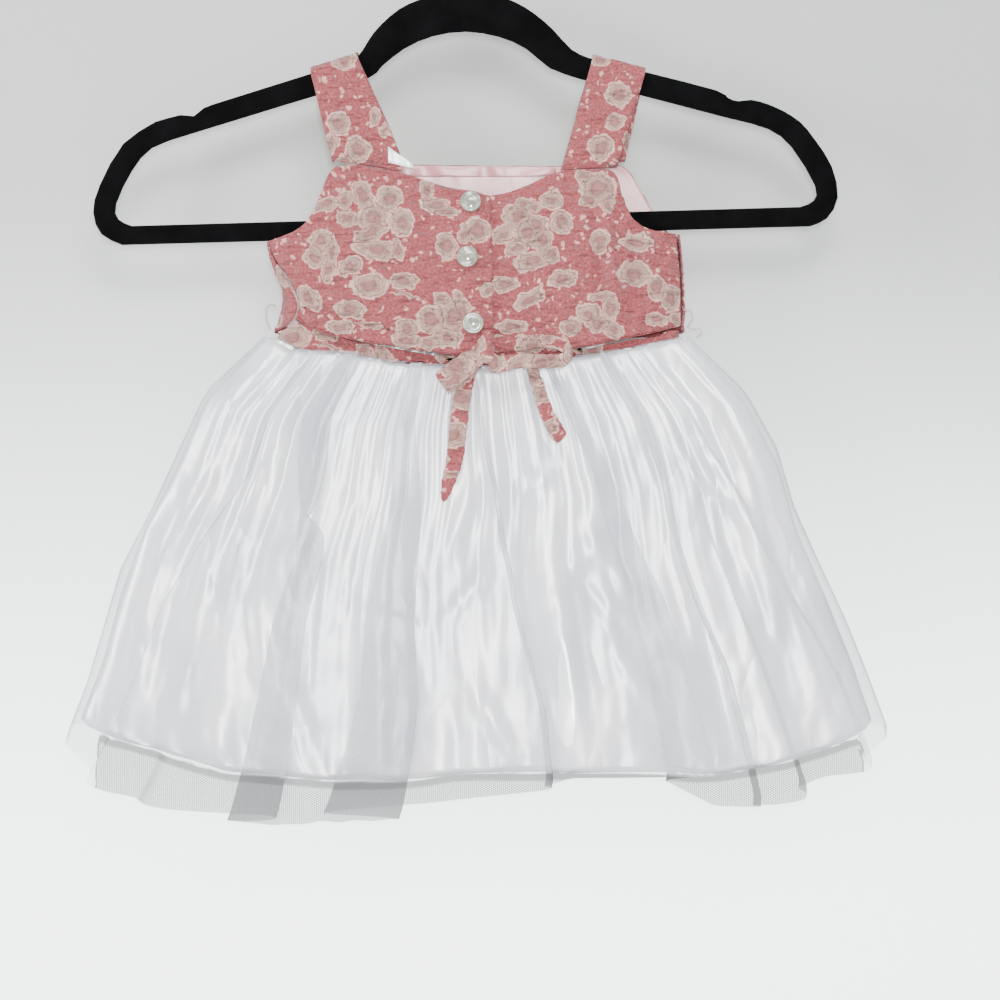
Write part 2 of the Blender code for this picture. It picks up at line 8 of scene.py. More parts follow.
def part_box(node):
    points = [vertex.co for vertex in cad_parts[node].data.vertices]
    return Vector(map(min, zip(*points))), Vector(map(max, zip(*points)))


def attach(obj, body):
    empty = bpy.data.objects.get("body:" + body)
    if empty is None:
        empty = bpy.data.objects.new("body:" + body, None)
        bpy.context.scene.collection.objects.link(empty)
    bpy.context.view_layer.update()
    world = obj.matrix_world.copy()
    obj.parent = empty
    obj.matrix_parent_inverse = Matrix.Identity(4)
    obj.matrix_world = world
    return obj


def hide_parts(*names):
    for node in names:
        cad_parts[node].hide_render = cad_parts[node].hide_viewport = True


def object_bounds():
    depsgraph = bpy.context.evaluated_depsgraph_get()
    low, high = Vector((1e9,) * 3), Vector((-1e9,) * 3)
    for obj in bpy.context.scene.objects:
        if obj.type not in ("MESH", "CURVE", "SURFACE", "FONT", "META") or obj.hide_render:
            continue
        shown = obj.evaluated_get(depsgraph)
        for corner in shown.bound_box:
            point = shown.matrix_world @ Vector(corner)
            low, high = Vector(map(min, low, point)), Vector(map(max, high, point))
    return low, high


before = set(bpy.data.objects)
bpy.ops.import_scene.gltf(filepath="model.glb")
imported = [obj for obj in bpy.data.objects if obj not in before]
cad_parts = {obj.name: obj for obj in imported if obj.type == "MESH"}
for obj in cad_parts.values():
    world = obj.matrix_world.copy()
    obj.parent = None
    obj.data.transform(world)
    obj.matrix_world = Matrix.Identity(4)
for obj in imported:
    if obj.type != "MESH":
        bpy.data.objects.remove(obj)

CAD_BOX = [list(corner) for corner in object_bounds()]
MM = 0.001

# Room ------------------------------------------------------------------------------------------
# The hanger is held up in front of a pale wall, over a pale floor. A small bright lamp stands by the
# camera, two large soft boxes high and to the left of it, and a weak one behind fills the back.
# The wall also glows, brighter towards the bottom: painted light.

WALL_BEHIND = 0.012
FLOOR_BELOW = 0.16
low, high = (Vector(corner) for corner in CAD_BOX)
MIDDLE = Vector(((low.x + high.x) / 2, 0, 0))


def feed(tree, socket, value):
    """Link a value that comes from another node, or set a plain one."""
    if isinstance(value, bpy.types.NodeSocket):
        tree.links.new(value, socket)
    else:
        socket.default_value = value


def step(tree, kind, settings=None, **inputs):
    """A shader node with its settings, and its inputs by name with _ for a space."""
    made = tree.nodes.new("ShaderNode" + kind)
    for name, value in (settings or {}).items():
        setattr(made, name, value)
    for name, value in inputs.items():
        feed(tree, made.inputs[name.replace("_", " ")], value)
    return made


def calc(tree, operation, *terms):
    """A Math node's result."""
    made = step(tree, "Math", {"operation": operation})
    for socket, term in zip(made.inputs, terms):
        feed(tree, socket, term)
    return made.outputs[0]


def material(name):
    look = bpy.data.materials.new(name)
    look.use_nodes = True
    return look, look.node_tree, look.node_tree.nodes["Principled BSDF"]


def object_place(tree):
    return step(tree, "TexCoord").outputs["Object"]


def grains(tree, place, scale, detail=3.0, roughness=0.5):
    made = step(tree, "TexNoise", Vector=place, Scale=scale, Detail=detail, Roughness=roughness)
    return made.outputs["Fac"]


def ramp(tree, value, *stops):
    """A colour ramp from (place, (r, g, b)) stops."""
    made = step(tree, "ValToRGB", Fac=value)
    band = made.color_ramp.elements
    band[0].position, band[1].position = stops[0][0], stops[-1][0]
    for place, colour in stops[1:-1]:
        band.new(place)
    for element, (place, colour) in zip(band, stops):
        element.color = (*colour, 1)
    return made.outputs["Color"]


def range_of(tree, value, low, high, to_low=0.0, to_high=1.0):
    """The value's range stretched to another, with soft ends."""
    made = step(tree, "MapRange", {"interpolation_type": "SMOOTHSTEP"}, Value=value,
                From_Min=low, From_Max=high, To_Min=to_low, To_Max=to_high)
    return made.outputs["Result"]


def bump(tree, height, depth_mm, strength=1.0, normal=None):
    made = step(tree, "Bump", Height=height, Distance=depth_mm * MM, Strength=strength)
    if normal:
        tree.links.new(normal, made.inputs["Normal"])
    return made.outputs["Normal"]


def plane(name, look, *corners):
    mesh = bpy.data.meshes.new(name)
    form = bmesh.new()
    form.faces.new([form.verts.new(corner) for corner in corners])
    form.to_mesh(mesh)
    form.free()
    mesh.materials.append(look)
    piece = bpy.data.objects.new(name, mesh)
    bpy.context.scene.collection.objects.link(piece)
    return piece


paint, tree, shader = material("wall_paint")
cloudy = grains(tree, object_place(tree), 2.2, 2)
wall_colour = ramp(tree, cloudy, (0.3, (0.36, 0.38, 0.36)), (0.7, (0.43, 0.445, 0.43)))
feed(tree, shader.inputs["Base Color"], wall_colour)
shader.inputs["Roughness"].default_value = 0.9
height = step(tree, "SeparateXYZ", Vector=object_place(tree)).outputs[2]
# Painted light: the wall glows, strongest at the bottom and fading out upwards.
shader.inputs["Emission Color"].default_value = (0.95, 1.0, 1.0, 1)
feed(tree, shader.inputs["Emission Strength"], range_of(tree, height, -0.66, -0.16, 3.6, 0.0))
clear = step(tree, "BsdfTransparent").outputs["BSDF"]
one_sided = step(tree, "MixShader")
feed(tree, one_sided.inputs[0], step(tree, "NewGeometry").outputs["Backfacing"])
feed(tree, one_sided.inputs[1], shader.outputs["BSDF"])
feed(tree, one_sided.inputs[2], clear)
feed(tree, tree.nodes["Material Output"].inputs["Surface"], one_sided.outputs[0])
behind = high.y + WALL_BEHIND
under = low.z - FLOOR_BELOW
wall = plane("wall", paint, (-3, behind, under), (3, behind, under), (3, behind, 2), (-3, behind, 2))
for rays in ("visible_shadow", "visible_diffuse", "visible_glossy", "visible_transmission"):
    setattr(wall, rays, False)

paint, tree, shader = material("floor_paint")
cloudy = grains(tree, object_place(tree), 3, 3)
floor_colour = ramp(tree, cloudy, (0.3, (0.70, 0.70, 0.69)), (0.7, (0.78, 0.78, 0.77)))
feed(tree, shader.inputs["Base Color"], floor_colour)
shader.inputs["Roughness"].default_value = 0.7
floor = plane("floor", paint, (-4, -4, under), (4, -4, under), (4, 4, under), (-4, 4, under))

middle_height = (low.z + high.z) / 2


def soft_box(name, place, width, height, watts, colour=(1, 1, 1)):
    """A rectangular lamp that faces the middle of the dress."""
    lamp = bpy.data.lights.new(name, "AREA")
    lamp.shape = "RECTANGLE"
    lamp.size, lamp.size_y = width, height
    lamp.energy = watts
    lamp.color = colour
    holder = bpy.data.objects.new(name, lamp)
    holder.location = place
    aim = Vector((MIDDLE.x, 0, middle_height)) - holder.location
    holder.rotation_euler = aim.to_track_quat("-Z", "Y").to_euler()
    bpy.context.scene.collection.objects.link(holder)


soft_box("high_front_light", (0.2, -1.1, 0.75), 0.9, 0.5, 24)
soft_box("left_front_light", (-1.3, -0.6, -0.1), 0.3, 0.6, 20)
soft_box("lamp_by_the_camera", (0.05, -1.35, -0.3), 0.2, 0.2, 19)
soft_box("back_fill", (0.4, 1.6, 0.3), 1.2, 1.2, 20)
sky = bpy.data.worlds.new("room_light")
sky.use_nodes = True
sky.node_tree.nodes["Background"].inputs["Color"].default_value = (0.93, 0.96, 1.0, 1)
sky.node_tree.nodes["Background"].inputs["Strength"].default_value = 1.05
bpy.context.scene.world = sky

LENS = 70
FRAME_WIDTH = 0.5957
AIM_HEIGHT = -0.3872
AIM_X = 0.0203
camera = bpy.data.cameras.new("camera")
camera.lens = LENS
holder = bpy.data.objects.new("camera", camera)
holder.location = (AIM_X, -FRAME_WIDTH * LENS / camera.sensor_width, AIM_HEIGHT)
holder.rotation_euler = (math.radians(90), 0, 0)
bpy.context.scene.collection.objects.link(holder)
bpy.context.scene.camera = holder

# Hanger ----------------------------------------------------------------------------------------
# A flat moulded plastic hanger covered all over with black velvet flock, which keeps straps from
# slipping, and its plated wire hook, pressed into the top of the moulding.

flock, tree, shader = material("black_velvet_flock")
place = object_place(tree)
fibres = grains(tree, place, 2600, 2, 0.7)
brushed = grains(tree, place, 60, 3)
black = ramp(tree, brushed, (0.35, (0.0010, 0.0010, 0.0012)), (0.7, (0.0026, 0.0026, 0.0029)))
feed(tree, shader.inputs["Base Color"], black)
feed(tree, shader.inputs["Normal"], bump(tree, fibres, 0.25))
shader.inputs["Roughness"].default_value = 0.95
shader.inputs["Specular IOR Level"].default_value = 0.05
shader.inputs["Sheen Weight"].default_value = 0.008
shader.inputs["Sheen Roughness"].default_value = 0.4

steel, tree, shader = material("plated_steel_wire")
drawn = grains(tree, object_place(tree), 900, 2)
grey = ramp(tree, drawn, (0.3, (0.55, 0.55, 0.56)), (0.7, (0.68, 0.68, 0.69)))
feed(tree, shader.inputs["Base Color"], grey)
feed(tree, shader.inputs["Roughness"], range_of(tree, drawn, 0.3, 0.7, 0.18, 0.32))
shader.inputs["Metallic"].default_value = 1.0


def welded(node):
    """A CAD piece's form with its corners welded and its triangles joined to four-sided faces."""
    form = bmesh.new()
    form.from_mesh(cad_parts[node].data)
    bmesh.ops.remove_doubles(form, verts=form.verts, dist=0.02 * MM)
    bmesh.ops.join_triangles(
        form, faces=form.faces, angle_face_threshold=math.radians(60), angle_shape_threshold=math.radians(60)
    )
    return form


def subdivided(form, level):
    """The form after so many rounds of Catmull-Clark subdivision, with the corners of sheets kept."""
    mesh = bpy.data.meshes.new("cage")
    form.to_mesh(mesh)
    form.free()
    cage = bpy.data.objects.new("cage", mesh)
    bpy.context.scene.collection.objects.link(cage)
    rounds = cage.modifiers.new("Rounds", "SUBSURF")
    rounds.levels = rounds.render_levels = level
    rounds.boundary_smooth = "PRESERVE_CORNERS"
    fine = bpy.data.meshes.new_from_object(cage.evaluated_get(bpy.context.evaluated_depsgraph_get()))
    bpy.data.objects.remove(cage)
    form = bmesh.new()
    form.from_mesh(fine)
    bpy.data.meshes.remove(fine)
    return form


def piece_of(name, form, look, *nodes, slot=None):
    """A finished piece on the dress's one body, in place of its CAD nodes."""
    mesh = bpy.data.meshes.new(name)
    form.to_mesh(mesh)
    form.free()
    mesh.shade_smooth()
    mesh.materials.append(look)
    piece = bpy.data.objects.new(name, mesh)
    bpy.context.scene.collection.objects.link(piece)
    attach(piece, "root")
    if nodes:
        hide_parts(*nodes)
    return piece


def dress_node(node, look):
    """A CAD piece whose shape is right keeps it and gets its finish."""
    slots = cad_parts[node].data.materials
    slots.clear()
    slots.append(look)


def reach(node, along, across, place, front=False):
    """Lowest and highest coordinate of a CAD piece where it is cut at a place along another axis."""
    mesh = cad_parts[node].data
    found = []
    for edge in mesh.edges:
        a, b = (mesh.vertices[index].co for index in edge.vertices)
        if front and max(a.y, b.y) > 0:
            continue
        if (a[along] - place) * (b[along] - place) <= 0 and a[along] != b[along]:
            share = (place - a[along]) / (b[along] - a[along])
            found.append(a[across] + (b[across] - a[across]) * share)
    return (min(found), max(found)) if found else (0, 0)


def read_table(table, place):
    """A value from an evenly spaced table over 0 to 1."""
    at = min(max(place, 0), 1) * (len(table) - 1)
    index = min(int(at), len(table) - 2)
    return table[index] + (table[index + 1] - table[index]) * (at - index)


dress_node("hanger_frame", flock)
piece_of("wire_hook", subdivided(welded("hanger_hook"), 1), steel, "hanger_hook", slot="steel")

# Printed cloth ---------------------------------------------------------------------------------
# The bodice is a crinkled cotton jersey, coral pink, printed with blown greyish flowers, rosebuds
# and small cream dots. The repeat is charted petal by petal, each as an oval:
# middle across and up, half width, half height (all mm) and turn (degrees).

PETALS = [
    # large flower, wearer's right
    (-60.9, -206.7, 6.5, 9.5, 20), (-71.2, -209.0, 4.6, 6.2, 0), (-45.4, -208.3, 7.8, 8.6, 0),
    (-37.4, -223.4, 7.0, 8.8, -10), (-69.7, -221.2, 6.6, 5.2, 0), (-54.5, -220.4, 9.6, 9.2, 0),
    (-56.0, -229.5, 11.5, 4.6, 24), (-52.2, -239.4, 14.0, 6.2, -6), (-40.1, -239.4, 3.8, 6.4, 10),
    # frilled flowers near its side seam
    (-82.6, -212.0, 8.6, 4.6, 12), (-85.6, -234.1, 7.4, 6.4, 0), (-88.7, -244.0, 7.0, 6.0, 0),
    (-78.8, -240.9, 3.8, 9.6, 0), (-81.1, -252.3, 4.6, 6.2, 0), (-68.2, -250.0, 7.6, 5.4, 20),
    (-92.5, -267.5, 5.4, 8.8, 38),
    # the row of roses below
    (-56.8, -260.7, 10.8, 7.4, 0), (-36.6, -258.4, 9.0, 5.5, 0), (-35.5, -266.4, 7.0, 1.2, -12),
    (-68.2, -275.1, 9.2, 4.8, -8), (-74.2, -285.0, 8.4, 4.4, 0), (-57.5, -284.2, 7.8, 2.2, -12),
    (-34.7, -285.8, 7.0, 5.8, 0), (-20.3, -280.4, 8.4, 8.4, 0), (-7.4, -278.9, 8.4, 9.8, 0),
    (-14.2, -268.3, 5.0, 4.2, 0), (-34.7, -293.4, 9.2, 4.4, 0), (-10.4, -291.1, 8.2, 7.0, 0),
    (-21.8, -294.9, 7.0, 4.6, 0), (-4.4, -267.5, 3.6, 4.4, 0),
    # leaves and buds beside the placket
    (-23.3, -203.7, 4.8, 6.8, 0), (-18.0, -212.8, 9.4, 5.2, -8), (-11.5, -217.0, 9.0, 2.4, -6),
    (-11.2, -237.1, 6.2, 8.2, 10), (0.2, -230.2, 4.6, 6.0, 0),
    # large flower, wearer's left
    (30.5, -219.6, 8.6, 8.6, 0), (34.0, -212.7, 6.4, 4.6, 10), (50.6, -210.0, 6.6, 6.2, 0),
    (56.7, -223.1, 6.6, 7.6, 0), (41.4, -213.5, 3.4, 3.4, 0), (41.8, -224.0, 7.2, 5.4, 0),
    (36.6, -230.1, 7.2, 7.2, 0), (22.6, -231.0, 6.6, 5.8, 0), (45.3, -233.6, 6.0, 8.8, 0),
    (30.5, -238.9, 8.2, 4.4, 20), (39.2, -246.7, 10.6, 5.6, 8), (50.6, -243.2, 5.2, 6.0, 0),
    # frilled flower at the armhole
    (69.8, -196.0, 5.4, 4.8, 0), (78.5, -203.0, 11.2, 9.4, 0), (73.3, -210.0, 5.4, 3.8, 0),
    (83.8, -213.5, 4.4, 4.4, 0),
    # buds and roses below
    (6.9, -228.4, 8.6, 7.8, 0), (79.4, -234.5, 5.4, 8.4, 0), (100.4, -235.4, 10.2, 5.4, 0),
    (99.5, -253.7, 10.6, 7.8, 0), (112.6, -261.6, 5.8, 8.0, 0), (121.4, -268.6, 6.0, 7.8, 0),
    (57.6, -257.2, 9.0, 5.2, 12), (23.5, -259.8, 8.4, 4.8, 5), (13.0, -263.3, 3.6, 4.4, 0),
    (37.5, -268.6, 10.4, 4.8, 34), (27.9, -285.2, 9.6, 4.4, 0), (61.9, -285.2, 6.2, 5.4, 0),
    (72.4, -277.3, 7.0, 6.2, 0), (85.5, -274.7, 5.2, 9.4, 0), (80.3, -266.8, 7.8, 3.4, 0),
    (77.7, -283.4, 7.8, 5.2, 0), (87.3, -287.8, 6.2, 4.4, 0), (36.6, -295.7, 9.6, 5.2, 0),
    (52.3, -294.8, 8.8, 4.0, 0), (19.1, -294.8, 7.0, 4.4, 0), (113.5, -280.8, 7.0, 4.4, 0),
    (124.0, -280.0, 4.4, 3.6, 0), (-1.9, -275.6, 5.2, 7.8, 0),
    # strap roses and leaves, wearer's right
    (-72.0, -126.0, 8.0, 6.0, 0), (-75.5, -164.0, 7.2, 7.6, 0), (-64.3, -179.5, 8.0, 7.6, 0),
    (-80.5, -176.0, 5.0, 6.0, 0), (-54.2, -160.2, 3.2, 6.6, -12), (-48.3, -168.6, 3.0, 4.6, -20),
    (-71.0, -186.0, 6.0, 4.0, 0),
    # strap roses and leaves, wearer's left
    (79.8, -125.7, 6.0, 4.0, 0), (90.5, -146.5, 8.2, 7.4, 0), (88.8, -163.2, 6.0, 5.0, 20),
    (80.4, -178.1, 7.8, 7.8, 0), (97.0, -175.0, 3.2, 6.4, 10),
]


def new_group(name, inputs, outputs):
    group = bpy.data.node_groups.new(name, "ShaderNodeTree")
    for label, kind in inputs:
        group.interface.new_socket(label, in_out="INPUT", socket_type="NodeSocket" + kind)
    for label, kind in outputs:
        group.interface.new_socket(label, in_out="OUTPUT", socket_type="NodeSocket" + kind)
    return group, group.nodes.new("NodeGroupInput").outputs, group.nodes.new("NodeGroupOutput").inputs


def print_group():
    """The printed repeat on flat cloth: its colour, and how raised the crinkled cloth is."""
    group, given, result = new_group(
        "flower_print", [("Cloth", "Vector")], [("Colour", "Color"), ("Relief", "Float"), ("Bloom", "Float")]
    )
    cloth = given["Cloth"]
    drift = step(group, "TexNoise", Vector=cloth, Scale=170.0, Detail=2.0).outputs["Color"]
    off_centre = step(group, "VectorMath", {"operation": "SUBTRACT"}).outputs[0]
    feed(group, off_centre.node.inputs[0], drift)
    off_centre.node.inputs[1].default_value = (0.5, 0.5, 0.5)
    shaken = step(group, "VectorMath", {"operation": "MULTIPLY_ADD"})
    feed(group, shaken.inputs[0], off_centre)
    shaken.inputs[1].default_value = (7 * MM, 7 * MM, 0)
    feed(group, shaken.inputs[2], cloth)
    best, next_best = 0.0, 0.0
    for x, z, half_width, half_height, turn in PETALS:
        own = step(
            group, "Mapping", {"vector_type": "TEXTURE"}, Vector=shaken.outputs[0], Location=(x * MM, z * MM, 0),
            Rotation=(0, 0, math.radians(turn)), Scale=(half_width * 1.1 * MM, half_height * 1.1 * MM, 1)
        )
        petal = step(group, "TexGradient", {"gradient_type": "SPHERICAL"}, Vector=own.outputs[0]).outputs["Fac"]
        next_best = calc(group, "MAXIMUM", next_best, calc(group, "MINIMUM", best, petal))
        best = calc(group, "MAXIMUM", best, petal)
    bloom = range_of(group, best, 0.02, 0.09)
    mottled = grains(group, cloth, 330, 3)
    frill = calc(group, "SINE", calc(group, "MULTIPLY_ADD", best, 17.0, calc(group, "MULTIPLY", mottled, 15.0)))
    inward = calc(group, "MULTIPLY_ADD", mottled, 0.26, best)
    petal_colour = ramp(
        group, calc(group, "MULTIPLY_ADD", frill, 0.06, inward),
        (0.13, (0.20, 0.085, 0.075)), (0.24, (0.62, 0.39, 0.325)), (0.38, (0.20, 0.105, 0.09)),
        (0.52, (0.44, 0.27, 0.225)), (0.76, (0.19, 0.095, 0.083)), (1.0, (0.30, 0.13, 0.12))
    )
    overlap = calc(group, "SUBTRACT", best, next_best)
    line = calc(group, "MULTIPLY", range_of(group, overlap, 0.02, 0.10, 1, 0), range_of(group, next_best, 0.02, 0.1))
    scribble = range_of(group, calc(group, "ABSOLUTE", frill), 0.05, 0.4, 0.45, 0)
    veined = step(group, "Mix", {"data_type": "RGBA"})
    feed(group, veined.inputs[0], calc(group, "MAXIMUM", calc(group, "MULTIPLY", line, 0.9), scribble))
    feed(group, veined.inputs[6], petal_colour)
    veined.inputs[7].default_value = (0.15, 0.055, 0.052, 1)
    streaks = grains(group, cloth, 620, 4, 0.7)
    ground = ramp(group, streaks, (0.3, (0.17, 0.032, 0.037)), (0.5, (0.26, 0.055, 0.060)), (0.7, (0.38, 0.105, 0.105)))
    dots = step(group, "TexVoronoi", Vector=shaken.outputs[0], Scale=225.0, Randomness=1.0).outputs["Distance"]
    sprinkled = range_of(group, grains(group, cloth, 36, 1), 0.38, 0.45)
    dot = calc(group, "MULTIPLY", range_of(group, dots, 0.20, 0.32, 1, 0), sprinkled)
    dotted = step(group, "Mix", {"data_type": "RGBA"})
    feed(group, dotted.inputs[0], dot)
    feed(group, dotted.inputs[6], ground)
    dotted.inputs[7].default_value = (0.58, 0.30, 0.26, 1)
    printed = step(group, "Mix", {"data_type": "RGBA"})
    feed(group, printed.inputs[0], bloom)
    feed(group, printed.inputs[6], dotted.outputs[2])
    feed(group, printed.inputs[7], veined.outputs[2])
    slanted = step(group, "Mapping", Vector=cloth, Rotation=(0, 0, math.radians(28)), Scale=(1, 2.6, 1))
    wrinkles = grains(group, slanted.outputs[0], 60, 2)
    relief = calc(group, "MULTIPLY_ADD", wrinkles, 4.0, grains(group, cloth, 260, 4, 0.65))
    feed(group, result["Colour"], printed.outputs[2])
    feed(group, result["Relief"], relief)
    feed(group, result["Bloom"], bloom)
    return group


PRINT = print_group()


def printed_cloth(name, across=1, shift=(0, 0), turn=0):
    """Printed jersey: the repeat laid on the cloth, mirrored when across is -1, and knit below."""
    look, tree, shader = material(name)
    split = step(tree, "SeparateXYZ", Vector=object_place(tree))
    along = calc(tree, "MULTIPLY", split.outputs[0], across)
    round_side = calc(tree, "MULTIPLY", split.outputs[1], 0.8)
    flat = step(tree, "CombineXYZ", X=calc(tree, "ADD", along, round_side) if across < 0 else along,
                Y=split.outputs[2], Z=0.0)
    laid = step(tree, "Mapping", Vector=flat.outputs[0], Location=(shift[0] * MM, shift[1] * MM, 0),
                Rotation=(0, 0, math.radians(turn)))
    repeat = step(tree, "Group")
    repeat.node_tree = PRINT
    feed(tree, repeat.inputs["Cloth"], laid.outputs[0])
    ribs = step(tree, "TexWave", {"wave_type": "BANDS", "bands_direction": "X"}, Vector=laid.outputs[0], Scale=420.0,
                Distortion=1.5, Detail=1.0).outputs["Fac"]
    knit = bump(tree, ribs, 0.12, 0.5)
    feed(tree, shader.inputs["Base Color"], repeat.outputs["Colour"])
    feed(tree, shader.inputs["Normal"], bump(tree, repeat.outputs["Relief"], 3.4, 0.9, knit))
    shader.inputs["Roughness"].default_value = 0.85
    shader.inputs["Sheen Weight"].default_value = 0.15
    shader.inputs["Sheen Roughness"].default_value = 0.5
    shader.inputs["Specular IOR Level"].default_value = 0.25
    return look


FRONT_CLOTH = printed_cloth("printed_jersey_front")
BACK_CLOTH = printed_cloth("printed_jersey_back", -1)

# Bodice fronts ---------------------------------------------------------------------------------
# Two printed fronts that button down the middle. Each is cut in one layer, turned in at its edges
# and top-stitched. The cloth crinkles all over and sags in soft folds from the buttons and seams.


def outer_skin(form, core_x=(-9, 9), core_z=(-9, 9)):
    """Keep a cloth wall's outer face: what looks away from the flat core inside the garment."""
    inside = []
    for face in form.faces:
        centre = face.calc_center_median()
        near = Vector((min(max(centre.x, core_x[0]), core_x[1]), 0, min(max(centre.z, core_z[0]), core_z[1])))
        if face.normal.dot((centre - near).normalized()) < 0.3:
            inside.append(face)
    bmesh.ops.delete(form, geom=inside, context="FACES")
    return form


def crinkled(form, height_mm, size_mm, seed=0.0, keep_edges=True):
    """Push the cloth in and out along its normals in small irregular puckers."""
    form.normal_update()
    edge = {vert for vert in form.verts if keep_edges and vert.is_boundary}
    for vert in form.verts:
        at = vert.co / (size_mm * MM) + Vector((seed, 0, seed))
        swell = 0.6 * noise.noise(at) + 0.4 * noise.noise(at * 2.3)
        vert.co += vert.normal * swell * height_mm * MM * (0.3 if vert in edge else 1)
    return form


def creased(form, creases, outward=-1, beyond=-1.0):
    """Soft folds laid one by one: (x, z) to (x, z), half width and height in mm, a trough if negative."""
    cloth = [vert for vert in form.verts if vert.co.y * outward > beyond]
    for start, end, reach, height in creases:
        a, b = Vector(start) * MM, Vector(end) * MM
        way = b - a
        for vert in cloth:
            at = Vector((vert.co.x, vert.co.z)) - a
            along = min(max(at.dot(way) / way.length_squared, 0), 1)
            away = (at - way * along).length / (reach * MM)
            if away < 1:
                fade = math.sin(math.pi * min(max(0.08 + 0.84 * along, 0), 1)) ** 0.5
                vert.co.y += outward * height * MM * fade * (0.5 + 0.5 * math.cos(math.pi * away))
    return form


def thick(piece, thickness_mm, offset=-1):
    wall = piece.modifiers.new("Cloth", "SOLIDIFY")
    wall.thickness = thickness_mm * MM
    wall.offset = offset
    return piece


BUTTONHOLE_SIDE_FOLDS = [
    ((-108, -236), (-60, -262), 12, 1.6), ((-98, -262), (-40, -285), 10, 1.5), ((-30, -240), (0, -246), 8, 1.2),
    ((-86, -276), (-30, -292), 6, -1.4), ((-80, -205), (-60, -240), 10, 1.2), ((-14, -225), (-4, -286), 9, -1.2),
]
BUTTON_SIDE_FOLDS = [
    ((82, -198), (90, -285), 5, 3.6), ((74, -205), (82, -286), 5, -2.8), ((98, -225), (97, -284), 5, -2.4),
    ((108, -262), (122, -244), 4, 2.0), ((30, -222), (66, -280), 11, 1.4), ((22, -240), (50, -292), 9, -1.2),
    ((96, -285), (120, -262), 6, 1.6),
]
for node, name, folds, cut, area in (
    ("bodice_front_buttonhole_side", "front_buttonhole_side", BUTTONHOLE_SIDE_FOLDS, (0.135, 0.122), 0.0120),
    ("bodice_front_button_side", "front_button_side", BUTTON_SIDE_FOLDS, (0.128, 0.118), 0.0117),
):
    form = creased(subdivided(outer_skin(welded(node)), 3), folds)
    crinkled(form, 2.1, 9, len(node))
    low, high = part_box(node)
    for vert in form.verts:
        if name == "front_buttonhole_side":
            vert.co.x -= 1.6 * MM * max(0, 1 - (vert.co.x - low.x) / (12 * MM))
    thick(piece_of(name, form, FRONT_CLOTH, node, slot="printed_knit"), 1.1)

# Bodice back and side returns ------------------------------------------------------------------
# One printed back, wider than the fronts: it wraps round both side seams to meet them. Its neck
# edge is straight, and its cloth crinkles like the fronts'.

low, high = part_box("bodice_back")
form = outer_skin(welded("bodice_back"), core_x=(low.x + 0.011, high.x - 0.011))
form = subdivided(form, 3)
BACK_FOLDS = [
    ((-80, -200), (-50, -280), 12, 1.4), ((-30, -195), (-36, -280), 9, -1.2), ((20, -192), (14, -282), 11, 1.5),
    ((60, -195), (84, -280), 9, -1.3), ((96, -215), (70, -284), 8, 1.4),
]
creased(form, BACK_FOLDS, 1, 0.004)
crinkled(form, 1.1, 7, 4.0)
low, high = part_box("bodice_back")
for vert in form.verts:
    outside = max(low.x + 22 * MM - vert.co.x, vert.co.x - high.x + 22 * MM, 0) / (22 * MM)
    vert.co.z -= 3.4 * MM * min(1, 2 * outside) * max(0, 1 - (vert.co.z - low.z) / (30 * MM))
back = thick(piece_of("back_panel", form, BACK_CLOTH, "bodice_back", slot="printed_knit"), 1.0)

# Linings ---------------------------------------------------------------------------------------
# Pale pink satin backs the bodice. It shows inside the neck and armholes, turned in along the back
# neck as a narrow facing with a pressed edge, and one white corner has slipped out over a strap.


def satin(name, dark, pale, roughness=0.27, depth=3.0, lustre=0.0):
    """Soft lustrous cloth: fine floats across, and slow creases that catch the light, with painted shade darkening the
    colour in the creases' hollows.
    """
    look, tree, shader = material(name)
    place = object_place(tree)
    fall = step(tree, "Mapping", Vector=place, Scale=(1.5, 1, 0.75))
    slow = grains(tree, fall.outputs[0], 19, 2, 0.4)
    crushed = calc(tree, "ABSOLUTE", calc(tree, "SUBTRACT", grains(tree, fall.outputs[0], 30, 1), 0.5))
    # Painted shade: the base colour follows the slow creases, darker in their hollows.
    feed(tree, shader.inputs["Base Color"], ramp(tree, slow, (0.35, dark), (0.62, pale)))
    floats = step(tree, "TexWave", {"wave_type": "BANDS", "bands_direction": "Z"}, Vector=place, Scale=900.0,
                  Distortion=0.6, Detail=1.0).outputs["Fac"]
    woven = bump(tree, floats, 0.05, 0.3)
    feed(tree, shader.inputs["Normal"], bump(tree, calc(tree, "MULTIPLY_ADD", crushed, 0.35, slow), depth, 0.9, woven))
    shader.inputs["Roughness"].default_value = roughness
    shader.inputs["Metallic"].default_value = lustre
    shader.inputs["Specular IOR Level"].default_value = 0.95
    shader.inputs["Sheen Weight"].default_value = 0.1
    shader.inputs["Sheen Roughness"].default_value = 0.35
    return look


PINK_SATIN = satin("pale_pink_satin", (0.38, 0.125, 0.14), (0.56, 0.25, 0.26))
WHITE_SATIN = satin("white_satin", (0.80, 0.82, 0.85), (0.98, 0.98, 0.98), 0.32, 7.5, 0.35)


def waved(form, height_mm, size_mm, seed, shape=(1, 1, 1)):
    """Move a thin closed wall front to back as one, in slow waves."""
    for vert in form.verts:
        at = Vector(a * b for a, b in zip(vert.co, shape)) / (size_mm * MM) + Vector((seed, 0, 0))
        at.y = 0
        vert.co.y += noise.noise(at) * height_mm * MM
    return form


